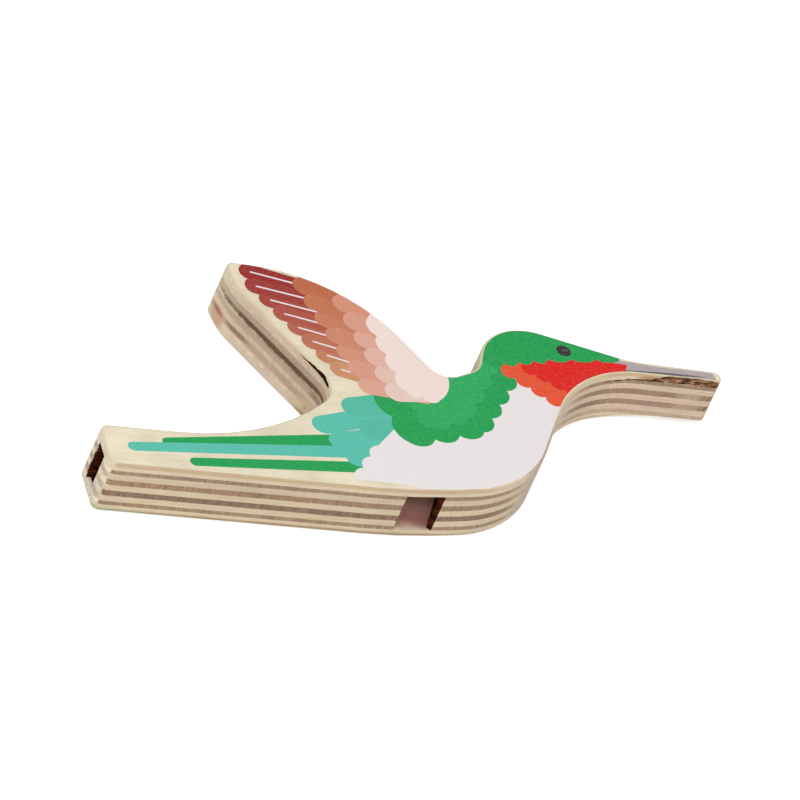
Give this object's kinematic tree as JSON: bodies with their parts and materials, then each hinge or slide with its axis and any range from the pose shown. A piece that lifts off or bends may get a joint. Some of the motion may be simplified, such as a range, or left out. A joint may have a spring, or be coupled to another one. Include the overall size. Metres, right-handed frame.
{
  "type": "bird-shaped wooden whistle",
  "caption": "Flat plywood whistle sawn to a hovering bird, with a windway in the tail, a sound window in the belly edge and a printed face.",
  "frame": {"origin": "middle of the box of the back face, on the surface that the whistle lies on", "axes": "+X along the belly edge from the tail end to the beak, +Y from the belly edge to the wing, +Z out of the printed face"},
  "size_m": [0.1362, 0.0604, 0.012],
  "materials": {
    "face_birch": "sanded smooth, printed in flat ink, matt",
    "light_birch": "sawn edge, sanded",
    "dark_crossband": "sawn end grain, sanded"
  },
  "bodies": {
    "root": {"printed_face_ply": "face_birch", "core_ply_1_body": "dark_crossband", "core_ply_1_lip": "dark_crossband", "core_ply_2_body": "light_birch", "core_ply_2_lip": "light_birch", "core_ply_3_body": "dark_crossband", "core_ply_3_lip": "dark_crossband", "core_ply_4_body": "light_birch", "core_ply_4_lip": "light_birch", "core_ply_5_body": "dark_crossband", "core_ply_5_lip": "dark_crossband", "core_ply_6_body": "light_birch", "core_ply_6_lip": "light_birch", "core_ply_7_body": "dark_crossband", "core_ply_7_lip": "dark_crossband", "back_face_ply": "face_birch"}
  },
  "joints": []
}
